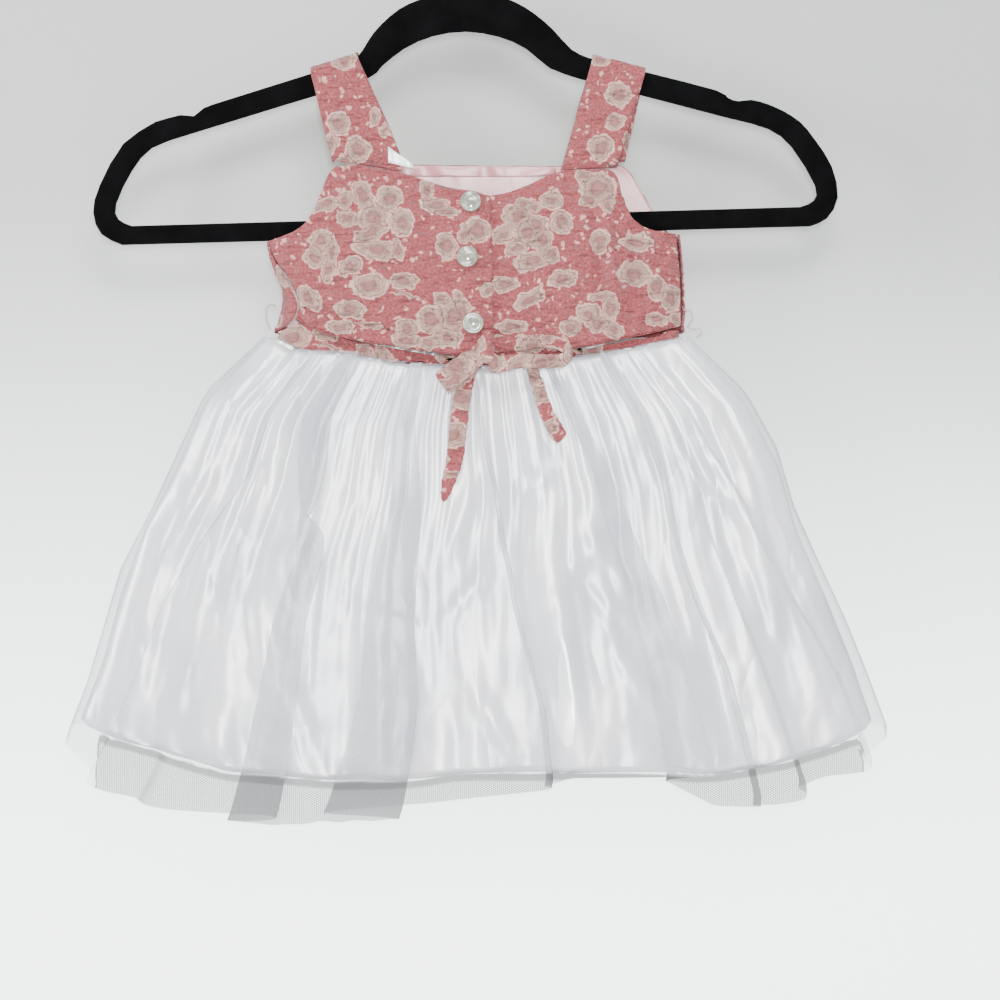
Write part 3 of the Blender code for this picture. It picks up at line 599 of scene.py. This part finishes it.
for node, name, look, slot, height, size, seed, flat, area in (
    ("back_lining", "back_lining_panel", PINK_SATIN, "pink_satin", 0.5, 16, 3, (0.238, 0.102), 0.0208),
    ("back_neck_facing", "back_neck_strip", PINK_SATIN, "pink_satin", 1.6, 11, 8, (0.101, 0.010), 0.00073),
    ("front_lining_corner", "slipped_lining_corner", WHITE_SATIN, "white_satin", 1.0, 7, 5, (0.0155, 0.0118),
     0.000115),
):
    form = welded(node)
    if look == WHITE_SATIN:
        bmesh.ops.subdivide_edges(form, edges=form.edges, cuts=3, use_grid_fill=True)
        bmesh.ops.translate(form, verts=form.verts, vec=(2.5 * MM, 0, 2.5 * MM))
    else:
        form = subdivided(form, 2)
    lining = piece_of(name, waved(form, height, size, seed), look, node, slot=slot)

# Shoulder straps -------------------------------------------------------------------------------
# Two wide printed straps, cut double and turned out, run from the front neck over the hanger's
# arms to the back neck.

for node, name, seed, flat in (
    ("strap_left", "shoulder_strap_right_side", 2.0, (0.046, 0.134)),
    ("strap_right", "shoulder_strap_left_side", 6.0, (0.038, 0.132)),
):
    low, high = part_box(node)
    form = subdivided(outer_skin(welded(node), core_z=(-9, high.z - 0.010)), 3)
    strap = piece_of(name, crinkled(form, 0.7, 6, seed), FRONT_CLOTH, node, slot="printed_knit")
    thick(strap, 1.1)

# Waistband -------------------------------------------------------------------------------------
# A printed band, gathered a little on its seams, joins the bodice to the skirt. The fronts hang
# free over it, so it shows as a strip below them.

low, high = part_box("waistband")
form = subdivided(outer_skin(welded("waistband"), core_x=(low.x + 0.012, high.x - 0.012)), 3)
form.normal_update()
for vert in form.verts:
    gather = math.sin(vert.co.x / (1.9 * MM) + 2.4 * noise.noise(vert.co / (14 * MM)))
    vert.co += vert.normal * 0.35 * MM * gather
lower_edge, band_foot = [], []
for k in range(101):
    x = low.x + (high.x - low.x) * (0.01 + 0.0098 * k)
    tie = "tie_band_left" if x < 0.012 else "tie_band_right"
    lower_edge.append(reach(tie, 0, 2, min(max(x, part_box(tie)[0].x + 0.001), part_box(tie)[1].x - 0.001))[0])
    band_foot.append(reach("waistband", 0, 2, x, True)[0])
for vert in form.verts:
    x, z = vert.co.x / MM, vert.co.z
    sag = 0.0
    for start, end, most in ((-86, 4, 3.3), (56, 122, 3.0)):
        if start < x < end:
            sag = most * MM * min(1, 2.2 * math.sin(math.pi * (x - start) / (end - start)))
    share = (vert.co.x - low.x) / (high.x - low.x)
    foot = read_table(band_foot, share)
    brim = read_table(lower_edge, share) - sag
    if vert.co.y < 0 and sag > 0 and high.z > brim > foot:
        wanted = foot + (z - foot) * (brim - foot) / (high.z - 0.0075 - foot)
        vert.co.z += (wanted - z) * min(1, sag / (1.5 * MM))
BAND_CLOTH = printed_cloth("printed_jersey_band", 1, shift=(46, 30))
band = thick(piece_of("gathered_waistband", crinkled(form, 0.8, 6, 9.0), BAND_CLOTH, "waistband",
                      slot="printed_knit"), 1.2)

# Waist tie -------------------------------------------------------------------------------------
# A narrow printed tie is stitched along the fronts' lower edge and tied in a small bow at the
# placket. Its two loops and two tails hang from the knot, and the tails end in slanted cuts.

KNOT_CLOTH = printed_cloth("printed_jersey_knot", 1, shift=(-49, 88))
LOOP_CLOTH = printed_cloth("printed_jersey_loop", 1, shift=(-8, 78))
# node, name, cut, cloth, and how much the piece is drawn out along X and Z from its far corner
TAPES = [
    ("tie_band_left", "tie_along_buttonhole_side", (0.0100, 0.108), FRONT_CLOTH, 1, 1),
    ("tie_band_right", "tie_along_button_side", (0.0100, 0.110), FRONT_CLOTH, 1, 1),
    ("bow_loop_left", "bow_loop_right_side", (0.0120, 0.046), KNOT_CLOTH, 1.14, 1.2),
    ("bow_loop_right", "bow_loop_left_side", (0.0100, 0.088), LOOP_CLOTH, 1.14, 1.15),
    ("bow_tail_left", "bow_tail_right_side", (0.0105, 0.078), KNOT_CLOTH, 1, 1.09),
    ("bow_tail_right", "bow_tail_left_side", (0.0100, 0.046), LOOP_CLOTH, 1, 1.1),
]
for node, name, flat, look, across, up in TAPES:
    form = subdivided(welded(node), 3)
    form.normal_update()
    low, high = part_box(node)
    far_x = low.x if node.endswith("left") else high.x
    for vert in form.verts:
        along = vert.co.z if "tail" in node else vert.co.x
        vert.co.y += 0.7 * MM * noise.noise(vert.co / (5 * MM) + Vector((len(name), 0, 0)))
        wander = 3 * noise.noise(vert.co / (6 * MM))
        vert.co += vert.normal * 0.22 * MM * math.sin(along / (0.9 * MM) + wander)
        vert.co.x = far_x + (vert.co.x - far_x) * across
        vert.co.z = low.z + (vert.co.z - low.z) * up
    tape = piece_of(name, form, look, node, slot="printed_knit")
form = subdivided(welded("bow_knot"), 3)
low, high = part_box("bow_knot")
centre = (low + high) / 2
for vert in form.verts:
    away = vert.co - centre
    ridge = math.sin(away.x / (0.95 * MM) + away.z / (5 * MM)) * 0.5 + noise.noise(vert.co / (4 * MM)) * 0.9
    vert.co += away.normalized() * ridge * MM + Vector((away.x * 0.25, 0, away.z * 0.3))
piece_of("bow_knot_wrap", form, KNOT_CLOTH, "bow_knot", slot="printed_knit")

# Buttons ---------------------------------------------------------------------------------------
# Three pearly resin buttons with a turned rim and a domed middle. Each goes through a buttonhole
# worked in coral thread, whose stitched end shows beside it.

pearl, tree, shader = material("pearly_resin")
place = object_place(tree)
swirl = grains(tree, place, 260, 3, 0.6)
feed(tree, shader.inputs["Base Color"], ramp(tree, swirl, (0.3, (0.13, 0.14, 0.105)), (0.55, (0.22, 0.225, 0.18)),
                                             (0.75, (0.42, 0.41, 0.35))))
feed(tree, shader.inputs["Roughness"], range_of(tree, swirl, 0.3, 0.7, 0.08, 0.2))
shader.inputs["Coat Weight"].default_value = 0.7
shader.inputs["Coat Roughness"].default_value = 0.05
shader.inputs["Specular IOR Level"].default_value = 0.7

thread, tree, shader = material("coral_thread")
place = object_place(tree)
feed(tree, shader.inputs["Base Color"], ramp(tree, grains(tree, place, 900, 2), (0.3, (0.50, 0.15, 0.15)),
                                             (0.7, (0.68, 0.27, 0.26))))
shader.inputs["Roughness"].default_value = 0.7


def turned(form, profile, steps=40):
    """A profile of (radius, height) points turned about Z, closed at both ends on the axis."""
    line = [form.verts.new((radius, 0, height)) for radius, height in profile]
    edges = [form.edges.new(pair) for pair in zip(line, line[1:])]
    bmesh.ops.spin(form, geom=line + edges, cent=(0, 0, 0), axis=(0, 0, 1), angle=math.tau, steps=steps,
                   use_merge=True)
    bmesh.ops.remove_doubles(form, verts=form.verts, dist=0.001 * MM)
    bmesh.ops.recalc_face_normals(form, faces=form.faces)
    return form


def facing_out(form, node, tilt=0.0):
    """Turn a piece made about Z to face out of the dress, at the middle of its CAD node."""
    low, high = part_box(node)
    bmesh.ops.rotate(form, verts=form.verts, cent=(0, 0, 0),
                     matrix=Vector((0, 0, 1)).rotation_difference(Vector((0, -1, tilt))).to_matrix())
    bmesh.ops.translate(form, verts=form.verts, vec=(low + high) / 2)
    return form


for number, tilt in ((1, 0.16), (2, 0.06), (3, 0.0)):
    node = f"button_{number}"
    low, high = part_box(node)
    r = (high.x - low.x) / 2
    dome = [(0, 0.21 * r), (0.3 * r, 0.19 * r), (0.55 * r, 0.12 * r), (0.68 * r, 0.08 * r), (0.78 * r, 0.13 * r),
            (0.88 * r, 0.19 * r), (0.96 * r, 0.14 * r), (r, 0.0), (0.94 * r, -0.13 * r), (0.8 * r, -0.2 * r),
            (0, -0.2 * r)]
    button = facing_out(turned(bmesh.new(), dome), node, tilt)
    piece_of(f"pearl_button_{number}", button, pearl, node, slot="pearl")
    stitches = bmesh.new()
    for side in (-1, 1):
        for row in range(12):
            bar = bmesh.ops.create_cube(stitches, size=1)
            bmesh.ops.scale(stitches, verts=bar["verts"], vec=(0.42 * MM, 0.5 * MM, 1.1 * MM))
            x = (low.x + high.x) / 2 - (8.4 - row * 0.55) * MM
            bmesh.ops.translate(stitches, verts=bar["verts"],
                                vec=(x, high.y + 0.35 * MM, (low.z + high.z) / 2 + side * 0.75 * MM))
    piece_of(f"buttonhole_{number}", stitches, thread, slot="printed_knit")

# Thread carriers -------------------------------------------------------------------------------
# A crocheted loop of white thread at each side seam once carried a sash. They stand out empty.

white_thread, tree, shader = material("white_crochet_thread")
place = object_place(tree)
ply = step(tree, "TexWave", {"wave_type": "BANDS", "bands_direction": "DIAGONAL"}, Vector=place, Scale=700.0,
           Distortion=2.0).outputs["Fac"]
# Painted shade: the white thread is dark in the grooves between its plies, where the ply bump is low.
feed(tree, shader.inputs["Base Color"], ramp(tree, ply, (0.2, (0.22, 0.22, 0.20)), (0.7, (0.70, 0.69, 0.66))))
feed(tree, shader.inputs["Normal"], bump(tree, ply, 0.3, 0.8))
shader.inputs["Roughness"].default_value = 0.6
for node, name in (
    ("thread_loop_left", "thread_carrier_right_side"),
    ("thread_loop_right", "thread_carrier_left_side"),
):
    form = subdivided(welded(node), 2)
    form.normal_update()
    for vert in form.verts:
        vert.co += vert.normal * MM * (0.25 + 0.18 * math.sin((vert.co.x + vert.co.z) / (0.32 * MM)))
    piece_of(name, form, white_thread, node, slot="white_thread")

# Satin underskirt ------------------------------------------------------------------------------
# A flared tube of white satin, seamed at both sides and gathered into the waistband. It hangs in
# slow deep folds under the tulle, a little shorter, with a narrow turned hem.

SIDE_HEM = -0.521
TULLE_COLUMNS = (430, 210)
LINING_COLUMNS = (260, 120)


class Outline:
    """A skirt layer's outline, read from its CAD piece: its sides, its waist seam and its hem."""

    def __init__(self, node, tuck=0.0):
        low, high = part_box(node)
        self.seam = min(high.z, -0.290)
        levels = [k / 40 for k in range(41)]
        heights = [self.seam - 0.002 + (SIDE_HEM - self.seam) * level for level in levels]
        sides = [reach(node, 2, 0, height) for height in heights]
        self.left = [side[0] for side in sides]
        self.right = [side[1] for side in sides]
        spread = [k / 80 for k in range(81)]
        waist = [self.left[0] + (self.right[0] - self.left[0]) * (0.01 + 0.98 * share) for share in spread]
        self.top = [reach(node, 0, 2, x, True)[1] + tuck for x in waist]
        hems = [self.left[-1] + (self.right[-1] - self.left[-1]) * (0.015 + 0.97 * share) for share in spread]
        self.hem = [reach(node, 0, 2, x, True)[0] for x in hems]
        self.back_drop = 0.016

    def width(self, level):
        return read_table(self.right, level) - read_table(self.left, level)

    def at(self, share, is_front, level):
        """The x and z of a place on the layer, before its folds."""
        x = read_table(self.left, level) + self.width(level) * share
        if is_front:
            top, bottom = read_table(self.top, share), read_table(self.hem, share)
        else:
            top = self.seam
            bottom = SIDE_HEM - self.back_drop * math.sin(math.pi * share)
        return x, top + (bottom - top) * level


def rounded(share, width, corner):
    """How much of its depth a flattened tube has here: it closes in a rounded side."""
    inward = 1 - min(share, 1 - share) * width / corner
    return math.sqrt(max(0.0, 1 - inward * inward)) if inward > 0 else 1.0


def folds_of(share, level, table):
    """Slow irregular folds that run down the cloth: (folds across, mm at the waist, mm at the hem)."""
    total = 0.0
    for number, (count, at_waist, at_hem) in enumerate(table):
        wander = Vector((share * count + 0.35 * math.sin(level * 2.1 + number), number * 7.3, level * 0.9))
        total += (at_waist + (at_hem - at_waist) * level) * noise.noise(wander) * 2 * MM
    return total


def tube(columns, rows, place):
    """A tube of cloth: a rolled sheet of columns (front, back) and rows, each point placed by a rule."""
    front, back = columns
    around = front + back
    form = bmesh.new()
    bmesh.ops.create_cone(form, segments=around, radius1=1, radius2=1, depth=1, cap_ends=False)
    upright = [edge for edge in form.edges if abs(edge.verts[0].co.z - edge.verts[1].co.z) > 0.5]
    bmesh.ops.subdivide_edges(form, edges=upright, cuts=rows - 1, use_grid_fill=True)
    for vert in form.verts:
        turn = math.atan2(vert.co.y, vert.co.x) / math.tau % 1
        column = round(turn * around) % around
        is_front = column <= front
        share = column / front if is_front else 1 - (column - front) / back
        vert.co = place(share, is_front, 0.5 - vert.co.z)
    bmesh.ops.recalc_face_normals(form, faces=form.faces)
    return form


LINING = Outline("skirt_lining")
LINING_FOLDS = [(8, 0.8, 3.4), (19, 1.2, 2.2), (46, 1.4, 0.2), (90, 0.8, 0.0)]
WAIST_CORNER, HEM_CORNER = 0.012, 0.034


def lining_depth(share, is_front, level):
    """How far the underskirt stands out from the middle, before its sides round off."""
    at_waist, at_hem = 4.3, (12.0 if is_front else 8.5)
    folds = folds_of(share + (0 if is_front else 3), level, LINING_FOLDS) * min(1, 0.2 + level * 14)
    return max(1.5 * MM, (at_waist + (at_hem - at_waist) * level) * MM + folds)


def place_lining(share, is_front, level):
    x, z = LINING.at(share, is_front, level)
    corner = WAIST_CORNER + (HEM_CORNER - WAIST_CORNER) * level
    y = lining_depth(share, is_front, level) * rounded(share, LINING.width(level), corner)
    return x, -y if is_front else y, z


DRAPE = [
    ((70, -402), (96, -440), 7, 1.8), ((60, -428), (92, -462), 7, -1.6), ((48, -438), (74, -420), 8, 1.8),
    ((90, -478), (118, -520), 8, 1.8), ((58, -446), (60, -540), 16, 1.8), ((-42, -372), (-52, -470), 12, 1.8),
    ((-66, -452), (-30, -462), 6, -1.6), ((-170, -508), (-136, -540), 13, 1.8), ((-176, -420), (-150, -376), 9, 2.0),
    ((-10, -420), (6, -372), 8, 1.8), ((-14, -460), (16, -424), 8, -1.8), ((128, -356), (168, -400), 9, 2.2),
    ((172, -404), (186, -470), 9, 2.0), ((140, -470), (158, -536), 9, 2.0), ((6, -500), (30, -540), 9, 2.0),
    ((-100, -500), (-84, -556), 9, -1.8), ((30, -386), (56, -366), 8, 2.0), ((-126, -440), (-116, -500), 8, 1.6),
]
form = creased(tube(LINING_COLUMNS, 60, place_lining), DRAPE, -1, 0)
underskirt = piece_of("satin_underskirt", form, WHITE_SATIN, "skirt_lining", slot="white_satin")
thick(underskirt, 0.6)

# Tulle overskirt -------------------------------------------------------------------------------
# One layer of soft white nylon tulle over the satin, gathered thickly at the waist and cut raw at
# the hem. It falls in pressed folds, some doubled over so that three layers of net show.

# A fold is its pressed edge down the skirt as (level, share of the width), its half width in mm at
# the waist and the hem, how far it stands out, and how far it leans over, + to the wearer's left.
FRONT_FOLDS = [
    ([(0, 0.19), (0.19, 0.173), (0.35, 0.160), (0.42, 0.132), (0.51, 0.138), (0.63, 0.125), (1, 0.085)], (5, 13),
     (1.5, 5), (-6, -15)),
    ([(0, 0.13), (0.27, 0.118), (0.44, 0.080), (0.61, 0.062), (1, 0.035)], (5, 14), (1.5, 3.0), (-4, -12)),
    ([(0, 0.225), (0.3, 0.250), (0.43, 0.272), (0.7, 0.266), (1, 0.262)], (8, 27), (2, 7), (14, 54)),
    ([(0, 0.345), (0.33, 0.36), (0.74, 0.348), (1, 0.318)], (8, 40), (2, 7), (-14, -80)),
    ([(0, 0.50), (0.21, 0.525), (0.49, 0.562), (0.81, 0.588), (1, 0.592)], (6, 13), (1.6, 4.5), (8, 15)),
    ([(0, 0.67), (0.39, 0.742), (0.57, 0.772), (0.81, 0.778), (1, 0.785)], (7, 25), (2, 7), (10, 50)),
    ([(0, 0.80), (0.28, 0.812), (0.43, 0.82), (0.7, 0.84), (1, 0.842)], (6, 13), (2.2, 4.5), (8, 15)),
    ([(0, 0.85), (0.24, 0.862), (0.38, 0.868), (0.52, 0.88), (1, 0.896)], (5, 12), (2.0, 4.5), (6, 14)),
    ([(0, 0.88), (0.24, 0.90), (0.38, 0.932), (0.56, 0.95), (0.79, 0.972), (1, 0.975)], (5, 12), (2.0, 4.0), (6, 14)),
]
BACK_FOLDS = [
    ([(0, 0.10 + 0.1 * k), (1, 0.08 + 0.105 * k)], (6, 14 + 3 * (k % 3)), (1.8, 4.5), (5, (18, -26, 12)[k % 3]))
    for k in range(9)
]
GATHERS = [(118, 1.1, 0.0), (74, 1.7, 0.2), (43, 1.7, 0.9), (23, 1.4, 1.6), (9, 0.8, 2.4)]
TULLE = Outline("skirt_tulle", 1.6 * MM)


def line_at(line, level):
    """A fold line's share of the width at a level."""
    for (low, start), (high, end) in zip(line, line[1:]):
        if level <= high:
            return start + (end - start) * (level - low) / (high - low)
    return line[-1][1]


def between(pair, level):
    return pair[0] + (pair[1] - pair[0]) * level


def pressed_edge(half_width, lean):
    """How far a fold's pressed edge lies from its middle, and both are in the same unit."""
    if abs(lean) * math.pi / 2 <= half_width:
        return lean
    turn = math.asin(2 * half_width / (math.pi * abs(lean)))
    return math.copysign(half_width * turn / math.pi + abs(lean) * (0.5 + 0.5 * math.cos(turn)), lean)


def place_tulle(share, is_front, level):
    x, z = TULLE.at(share, is_front, level)
    width = TULLE.width(level)
    sideways = outward = 0.0
    for line, half_width, height, lean in FRONT_FOLDS if is_front else BACK_FOLDS:
        half, over = between(half_width, level), between(lean, level)
        away = abs((share - line_at(line, level)) * width / MM + pressed_edge(half, over)) / half
        if away < 1:
            ridge = 0.5 + 0.5 * math.cos(math.pi * away)
            sideways += over * ridge * MM
            outward += between(height, level) * ridge * MM
    seed = 5 if is_front else 11
    gathers = folds_of(share + seed, level, GATHERS) * min(1, 0.2 + level * 14)
    depth = between((6.6, 15.0 if is_front else 11.0), level) * MM + gathers
    depth = max(depth, lining_depth(share, is_front, level) + 2.4 * MM) + outward
    side = rounded(share, width, WAIST_CORNER + (HEM_CORNER - WAIST_CORNER) * level)
    x += sideways * min(1, side * 1.2)
    z += 1.5 * MM * level * noise.noise(Vector((share * 30, seed, 0)))
    y = depth * side
    return x, -y if is_front else y, z


tulle, tree, shader = material("white_nylon_tulle")
place = object_place(tree)
strands = 0.0
for turn in (0, 60, 120):
    laid = step(tree, "Mapping", Vector=place, Rotation=(0, math.radians(turn), 0))
    wave = step(tree, "TexWave", {"wave_type": "BANDS", "bands_direction": "X"}, Vector=laid.outputs[0],
                Scale=5.2 * 50, Distortion=0.25).outputs["Fac"]
    strands = calc(tree, "MAXIMUM", strands, range_of(tree, wave, 0.55, 0.95))
misty = grains(tree, place, 26, 3)
# Past the satin's hem the net has painted shade: its colour is mixed towards dark grey and it is made denser, for the
# shadowed wall behind it, with a painted shadow darkest just under the satin's hem.
beyond = step(tree, "Attribute", {"attribute_name": "beyond_satin"}).outputs["Fac"]
colour = ramp(tree, misty, (0.35, (0.46, 0.47, 0.53)), (0.65, (0.60, 0.61, 0.66)))
painted_shade_mix = step(tree, "Mix", {"data_type": "RGBA"})
past_hem = range_of(tree, beyond, 0.0, 0.10)
painted_hem_shadow = calc(tree, "MULTIPLY", past_hem, range_of(tree, beyond, 0.30, 0.50, 1.0, 0.35))
painted_shade_share = calc(tree, "MULTIPLY_ADD", painted_hem_shadow, 0.2, calc(tree, "MULTIPLY", past_hem, 0.76))
feed(tree, painted_shade_mix.inputs[0], painted_shade_share)
feed(tree, painted_shade_mix.inputs[6], colour)
painted_shade_mix.inputs[7].default_value = (0.085, 0.088, 0.088, 1)
feed(tree, shader.inputs["Base Color"], painted_shade_mix.outputs[2])
grazing = step(tree, "LayerWeight", Blend=0.5).outputs["Facing"]
open_net = calc(tree, "MULTIPLY_ADD", strands, 0.12, 0.17)
dense = calc(tree, "MULTIPLY_ADD", calc(tree, "POWER", grazing, 2.0), 0.75, open_net)
denser = calc(tree, "MULTIPLY_ADD", painted_hem_shadow, 0.36, calc(tree, "MULTIPLY", past_hem, 0.24))
feed(tree, shader.inputs["Alpha"], calc(tree, "ADD", denser, dense))
shader.inputs["Roughness"].default_value = 0.6
form = tube(TULLE_COLUMNS, 90, place_tulle)
# How far below the satin's hem each point of the net lies, which sets its painted shade and shadow.
past = form.verts.layers.float.new("beyond_satin")
for vert in form.verts:
    share = (vert.co.x - LINING.left[-1]) / LINING.width(1)
    below = (LINING.at(share, vert.co.y < 0, 1)[1] + 0.6 * MM - vert.co.z) / (12 * MM)
    side = min(max(400 * min(share, 1 - share), 0), 1)
    vert[past] = min(max(below, 0), 1) * side
overskirt = piece_of("tulle_overskirt", form, tulle, "skirt_tulle", slot="tulle")
